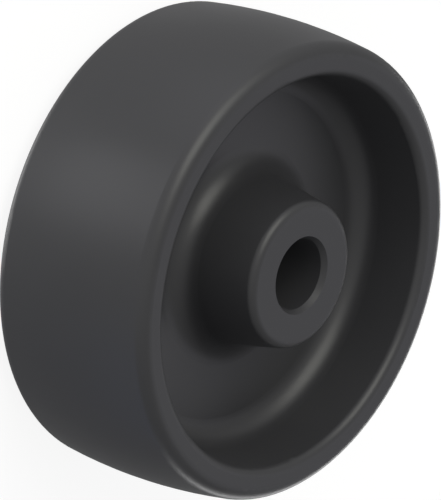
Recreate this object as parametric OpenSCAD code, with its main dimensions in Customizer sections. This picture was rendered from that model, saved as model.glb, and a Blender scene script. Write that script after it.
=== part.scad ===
// One-piece moulded plastic castor wheel with a plain bore.
// The wheel is one solid of revolution, the same on both sides. Its axis is Z,
// the origin is at the middle of the bore, and it lies flat on its lower hub face.
// Lengths are in millimetres.

/* [Tread] */

// Outside diameter at the middle of the tread
wheel_d = 100; // [92:1:120]
// Width across the two rim faces
rim_w = 40; // [34:0.5:42]
// Radius of the gently crowned running surface
crown_r = 123; // [100:1:400]
// Rounding between the tread and each rim face
shoulder_r = 3.2; // [1:0.1:5]

/* [Rim] */

// Inside diameter of the rim at its faces, before rounding
rim_in_d = 83.7; // [80:0.1:84]
// Slope of the rim's inside wall, in degrees
rim_draft = 8; // [1:0.5:9]
// Rounding of the rim's inside edge
lip_r = 1.8; // [0.5:0.1:2.2]

/* [Web] */

// Thickness of the flat web disc
web_t = 8.2; // [6:0.2:12]
// Hollow rounding between the web and the rim
web_rim_r = 5.3; // [2:0.1:6]
// Hollow rounding between the web and the hub
web_hub_r = 5.7; // [2:0.1:6]

/* [Hub] */

// Length of the hub between its two end faces
hub_l = 43.3; // [42:0.1:50]
// Diameter of the hub at its end faces, before rounding
hub_d = 31.1; // [28:0.1:36]
// Slope of the hub's outside wall, in degrees
hub_draft = 10.5; // [1:0.5:12]
// Rounding of the hub's end edges
hub_edge_r = 1.8; // [0.5:0.1:3]

/* [Bore] */

// Diameter of the axle the wheel runs on
axle_d = 15; // [12:0.5:16]
// Diametral running clearance in the bore
bore_play = 0.2; // [0.1:0.05:0.6]
// Depth of the chamfer at each mouth of the bore
mouth_h = 1.2; // [0.4:0.1:2]
// Widening of the radius over that chamfer
mouth_w = 0.75; // [0.3:0.05:1.5]

/* [Hidden] */

wheel_r = wheel_d / 2;
bore_r = (axle_d + bore_play) / 2;
crown_c = wheel_r - crown_r;
shoulder_z = rim_w / 2 - shoulder_r;
shoulder_c = crown_c + sqrt(pow(crown_r - shoulder_r, 2) - pow(shoulder_z, 2));
shoulder_a = asin(shoulder_z / (crown_r - shoulder_r));
rim_wall_r = rim_in_d / 2 - (rim_w - web_t) / 2 * tan(rim_draft);
hub_wall_r = hub_d / 2 + (hub_l - web_t) / 2 * tan(hub_draft);
lip_c = rim_in_d / 2 + lip_r * tan(45 - rim_draft / 2);
hub_edge_c = hub_d / 2 - hub_edge_r * tan(45 - hub_draft / 2);
web_rim_c = rim_wall_r - web_rim_r * tan(45 - rim_draft / 2);
web_hub_c = hub_wall_r + web_hub_r * tan(45 - hub_draft / 2);
over = 4;
wheel_colour = "#444446";

// What rounding takes off a corner: the area beyond radius r around the
// point (x, z), between the directions from and to, in degrees.
module corner(x, z, r, from, to) {
    reach = r * 1.8;
    mid = (from + to) / 2;
    translate([x, z])
        difference() {
            polygon([
                [0, 0],
                reach * [cos(from), sin(from)],
                reach * 1.3 * [cos(mid), sin(mid)],
                reach * [cos(to), sin(to)]
            ]);
            circle(r = r, $fn = 96);
        }
}

// Area of the ring-shaped hollow between hub and rim, above the web.
module hollow() {
    web_z = web_t / 2;
    top_z = hub_l / 2 + over;
    difference() {
        polygon([
            [hub_wall_r, web_z],
            [rim_wall_r, web_z],
            [rim_wall_r + (top_z - web_z) * tan(rim_draft), top_z],
            [hub_wall_r - (top_z - web_z) * tan(hub_draft), top_z]
        ]);
        corner(web_rim_c, web_z + web_rim_r, web_rim_r, -90, -rim_draft);
        corner(web_hub_c, web_z + web_hub_r, web_hub_r, 180 + hub_draft, 270);
    }
}

// Area of the chamfer at the upper mouth of the bore.
module mouth() {
    polygon([
        [bore_r - mouth_w, hub_l / 2 - 2 * mouth_h],
        [bore_r + mouth_w, hub_l / 2],
        [bore_r + mouth_w, hub_l / 2 + over],
        [bore_r - mouth_w, hub_l / 2 + over]
    ]);
}

// Everything that is taken out of the upper half of the section.
module cuts() {
    hollow();
    mouth();
    corner(shoulder_c, shoulder_z, shoulder_r, shoulder_a, 90);
    corner(lip_c, rim_w / 2 - lip_r, lip_r, 90, 180 - rim_draft);
    corner(hub_edge_c, hub_l / 2 - hub_edge_r, hub_edge_r, hub_draft, 90);
}

// Section before the cuts: the crowned rim band and the longer hub.
module blank() {
    intersection() {
        translate([crown_c, 0]) circle(r = crown_r, $fn = 720);
        translate([bore_r, -rim_w / 2]) square([wheel_r - bore_r + over, rim_w]);
    }
    translate([bore_r, -hub_l / 2]) square([hub_d / 2, hub_l]);
}

// The whole wheel, turned around its axis from one section.
module wheel() {
    color(wheel_colour)
        rotate_extrude($fn = 240)
            difference() {
                blank();
                cuts();
                mirror([0, 1]) cuts();
            }
}

wheel();
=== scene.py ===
"""Studio scene for the one-piece moulded plastic castor wheel."""
import math
import bpy
from mathutils import Matrix, Vector


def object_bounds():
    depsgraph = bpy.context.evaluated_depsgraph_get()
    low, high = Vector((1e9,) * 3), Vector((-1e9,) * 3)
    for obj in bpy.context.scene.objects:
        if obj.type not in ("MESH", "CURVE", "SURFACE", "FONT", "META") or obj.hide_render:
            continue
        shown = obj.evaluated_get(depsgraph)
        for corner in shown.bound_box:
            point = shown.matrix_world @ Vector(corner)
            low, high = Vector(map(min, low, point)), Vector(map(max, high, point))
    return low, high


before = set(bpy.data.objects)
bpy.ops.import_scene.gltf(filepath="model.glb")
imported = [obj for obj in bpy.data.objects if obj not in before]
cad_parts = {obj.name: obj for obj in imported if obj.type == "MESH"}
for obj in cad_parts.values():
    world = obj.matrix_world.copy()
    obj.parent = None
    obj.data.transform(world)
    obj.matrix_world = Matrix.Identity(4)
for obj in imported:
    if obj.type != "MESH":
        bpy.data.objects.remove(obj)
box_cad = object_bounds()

# ---------------------------------------------------------------- values
# View: the wheel's axis is world Z. The camera looks from -Y and above, and
# is rolled so that the axis runs to the right and down in the picture.
TILT = 53.15               # angle between the view and the axis, degrees
ROLL = 17.49               # how far the axis runs down from the right, degrees
LENS = 1480.0              # so long that there is almost no perspective
SENSOR = 36.0
FRAME_HEIGHT = 0.103270    # picture height at the wheel's centre, metres
SHIFT = (-0.00168, 0.00050)
CLIP = (0.5, 20.0)

# Plastic: its colour, then flow marks about two centimetres long, and a
# grain of about a third of a millimetre. Scales are per metre.
PLASTIC = (0.0398, 0.0400, 0.0430)
PLASTIC_IOR = 1.5
PLASTIC_SPECULAR = 0.5
FLOW = {"Scale": 45.0, "Detail": 3.0, "Roughness": 0.55}
FLOW_SPAN = (0.3, 0.7)     # the noise values that most flow marks lie between
FLOW_TONE = (0.93, 1.07)   # darkest and lightest tone, as shares of the colour
FLOW_ROUGH = (0.35, 0.41)  # glossiest and dullest roughness
GRAIN = {"Scale": 2600.0, "Detail": 2.0, "Roughness": 0.6}
GRAIN_BUMP = {"Strength": 0.12, "Distance": 0.00003}

# Floor: white paper. Most of its white is its own light, so that the lamps
# can't tint it, and the rest takes the wheel's shadow. It lies a hair below
# the hub's face, so that the two never share a plane.
FLOOR_GAP = 0.00002
FLOOR_HALF = 6.0
FLOOR_COLOUR = (0.19, 0.19, 0.19, 1)
FLOOR_LIGHT = 0.88

# Lamps: direction from the wheel (compass angle from +X towards +Y, height
# angle), half width and half height as tangents, brightness, and tint.
LAMPS = {
    "key": (213.0, 45.4, 0.380, 0.340, 2.45, (1.00, 0.99, 0.91)),
    "front": (259.0, -32.0, 0.268, 0.270, 1.16, (1.00, 1.00, 1.04)),
    "side": (207.0, -7.5, 0.377, 0.404, 0.30, (1.00, 1.00, 1.17)),
    "back": (90.0, 37.0, 0.400, 0.400, 0.295, (1.00, 0.99, 1.13)),
    "fill": (345.0, -15.0, 0.550, 0.260, 0.22, (0.65, 0.80, 1.36)),
    "rear": (68.0, -9.0, 0.800, 0.140, 2.9, (1.00, 1.00, 1.00)),
    "under": (270.0, -89.0, 0.250, 0.250, 2.2, (1.00, 1.00, 1.00)),
    "edge": (108.0, -38.0, 0.400, 0.250, 0.09, (1.00, 1.00, 1.00)),
}
LAMP_FAR = 3.0

# Room light: where its bright side is, its least brightness, and how much
# more there is towards the bright side.
ROOM_SIDE = (240.0, 10.0)
ROOM_LOW = 0.10
ROOM_GAIN = 0.76

# White backdrop: its brightness, and how much of it satin plastic shows.
WHITE = (1, 1, 1, 1)
BACKDROP = 1.0
SATIN_SHARE = 0.1


# ---------------------------------------------------------------- helpers
def empty_tree(owner):
    """Gives a material or a world an empty node tree."""
    owner.use_nodes = True
    owner.node_tree.nodes.clear()
    return owner.node_tree


def add(tree, kind, inputs=None, **settings):
    """Adds a node with its settings, and with fixed values for its inputs."""
    node = tree.nodes.new(kind)
    for key, value in settings.items():
        setattr(node, key, value)
    for key, value in (inputs or {}).items():
        node.inputs[key].default_value = value
    return node


def make_object(name, data):
    obj = bpy.data.objects.new(name, data)
    bpy.context.scene.collection.objects.link(obj)
    return obj


def stand(obj, right, back, place):
    """Puts obj at place, with its X axis along right and looking against back."""
    over = back.cross(right)
    obj.matrix_world = Matrix((
        (right.x, over.x, back.x, place.x),
        (right.y, over.y, back.y, place.y),
        (right.z, over.z, back.z, place.z),
        (0, 0, 0, 1)))


def direction(compass, height):
    """Unit vector at a compass angle and a height angle, in degrees."""
    a, h = math.radians(compass), math.radians(height)
    return Vector((math.cos(h) * math.cos(a), math.cos(h) * math.sin(a), math.sin(h)))


# ---------------------------------------------------------------- plastic
def moulded_plastic(name):
    """Dark moulded polyamide: satin, with a fine grain and faint flow marks."""
    material = bpy.data.materials.new(name)
    tree = empty_tree(material)
    link = tree.links.new
    out = add(tree, "ShaderNodeOutputMaterial")
    shader = add(tree, "ShaderNodeBsdfPrincipled", {
        "IOR": PLASTIC_IOR, "Specular IOR Level": PLASTIC_SPECULAR})
    place = add(tree, "ShaderNodeTexCoord")

    # the melt's flow changes the tone and the roughness a little
    flow = add(tree, "ShaderNodeTexNoise", FLOW)
    dark, light = [(*(part * share for part in PLASTIC), 1) for share in FLOW_TONE]
    tone = add(tree, "ShaderNodeMix", {"A": dark, "B": light},
               data_type="RGBA", blend_type="MIX")
    rough = add(tree, "ShaderNodeMapRange", {
        "From Min": FLOW_SPAN[0], "From Max": FLOW_SPAN[1],
        "To Min": FLOW_ROUGH[0], "To Max": FLOW_ROUGH[1]})

    # the mould's eroded surface leaves its grain as bump
    grain = add(tree, "ShaderNodeTexNoise", GRAIN)
    bump = add(tree, "ShaderNodeBump", GRAIN_BUMP)

    link(place.outputs["Object"], flow.inputs["Vector"])
    link(place.outputs["Object"], grain.inputs["Vector"])
    link(flow.outputs["Fac"], tone.inputs["Factor"])
    link(flow.outputs["Fac"], rough.inputs["Value"])
    link(grain.outputs["Fac"], bump.inputs["Height"])
    link(tone.outputs["Result"], shader.inputs["Base Color"])
    link(rough.outputs["Result"], shader.inputs["Roughness"])
    link(bump.outputs["Normal"], shader.inputs["Normal"])
    link(shader.outputs["BSDF"], out.inputs["Surface"])
    return material


plastic = moulded_plastic("moulded_plastic")
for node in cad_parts.values():
    if not node.material_slots:
        node.data.materials.append(plastic)
    for slot in node.material_slots:
        slot.material = plastic


# ---------------------------------------------------------------- floor
def white_paper(name):
    """White that is mostly its own light, and partly lit by the lamps."""
    material = bpy.data.materials.new(name)
    tree = empty_tree(material)
    link = tree.links.new
    out = add(tree, "ShaderNodeOutputMaterial")
    matt = add(tree, "ShaderNodeBsdfDiffuse", {"Color": FLOOR_COLOUR})
    glow = add(tree, "ShaderNodeEmission", {"Color": WHITE, "Strength": FLOOR_LIGHT})
    both = add(tree, "ShaderNodeAddShader")
    link(matt.outputs["BSDF"], both.inputs[0])
    link(glow.outputs["Emission"], both.inputs[1])
    link(both.outputs["Shader"], out.inputs["Surface"])
    return material


low = box_cad[0][2] - FLOOR_GAP
corners = [(-1, -1), (1, -1), (1, 1), (-1, 1)]
mesh = bpy.data.meshes.new("floor")
mesh.from_pydata([(x * FLOOR_HALF, y * FLOOR_HALF, low) for x, y in corners],
                 [], [(0, 1, 2, 3)])
mesh.materials.append(white_paper("floor"))
floor = make_object("floor", mesh)
floor.visible_diffuse = False
floor.visible_glossy = False
floor.visible_shadow = False


# ---------------------------------------------------------------- world
def studio_world(name):
    """Even room light, brighter on one side, and the white backdrop.

    The camera sees the whole backdrop, and so does what is clear. What is
    glossy shows a share of it.
    """
    world = bpy.data.worlds.new(name)
    tree = empty_tree(world)
    link = tree.links.new
    out = add(tree, "ShaderNodeOutputWorld")
    path = add(tree, "ShaderNodeLightPath")
    sky = add(tree, "ShaderNodeTexCoord")
    side = add(tree, "ShaderNodeVectorMath", {1: direction(*ROOM_SIDE)},
               operation="DOT_PRODUCT")
    level = add(tree, "ShaderNodeMapRange", {
        "From Min": -1.0, "From Max": 1.0,
        "To Min": ROOM_LOW, "To Max": ROOM_LOW + ROOM_GAIN})
    room = add(tree, "ShaderNodeBackground")
    white = add(tree, "ShaderNodeBackground", {"Color": WHITE, "Strength": BACKDROP})
    gloss = add(tree, "ShaderNodeMath", {1: SATIN_SHARE}, operation="MULTIPLY_ADD")
    clear = add(tree, "ShaderNodeMath", operation="ADD", use_clamp=True)
    pick = add(tree, "ShaderNodeMixShader")

    link(sky.outputs["Generated"], side.inputs[0])
    link(side.outputs["Value"], level.inputs["Value"])
    link(level.outputs["Result"], room.inputs["Strength"])
    link(path.outputs["Is Glossy Ray"], gloss.inputs[0])
    link(path.outputs["Is Camera Ray"], gloss.inputs[2])
    link(gloss.outputs["Value"], clear.inputs[0])
    link(path.outputs["Is Transmission Ray"], clear.inputs[1])
    link(clear.outputs["Value"], pick.inputs["Fac"])
    link(room.outputs["Background"], pick.inputs[1])
    link(white.outputs["Background"], pick.inputs[2])
    link(pick.outputs["Shader"], out.inputs["Surface"])
    return world


bpy.context.scene.world = studio_world("studio")


# ---------------------------------------------------------------- lamps
def softbox(name, compass, height, half_w, half_h, bright, tint):
    """Rectangular soft lamp, LAMP_FAR metres away and aimed at the wheel."""
    data = bpy.data.lights.new(name, "AREA")
    data.shape = "RECTANGLE"
    data.size = 2 * half_w * LAMP_FAR
    data.size_y = 2 * half_h * LAMP_FAR
    data.energy = bright * math.pi * data.size * data.size_y
    data.color = tint
    lamp = make_object(name, data)
    lamp.visible_camera = False
    away = direction(compass, height)
    level = Vector((0, 0, 1)).cross(away).normalized()
    stand(lamp, level, away, away * LAMP_FAR)


for name, values in LAMPS.items():
    softbox(name, *values)

# ---------------------------------------------------------------- camera
tilt = math.radians(TILT)
roll = math.radians(ROLL)
across = Vector((1, 0, 0))
back = Vector((0, -math.sin(tilt), math.cos(tilt)))
right = math.cos(roll) * back.cross(across) - math.sin(roll) * across
data = bpy.data.cameras.new("camera")
data.lens = LENS
data.sensor_width = SENSOR
data.shift_x, data.shift_y = SHIFT
data.clip_start, data.clip_end = CLIP
camera = make_object("camera", data)
stand(camera, right, back, back * (FRAME_HEIGHT * LENS / SENSOR))
bpy.context.scene.camera = camera

bpy.context.scene.view_settings.view_transform = "Standard"
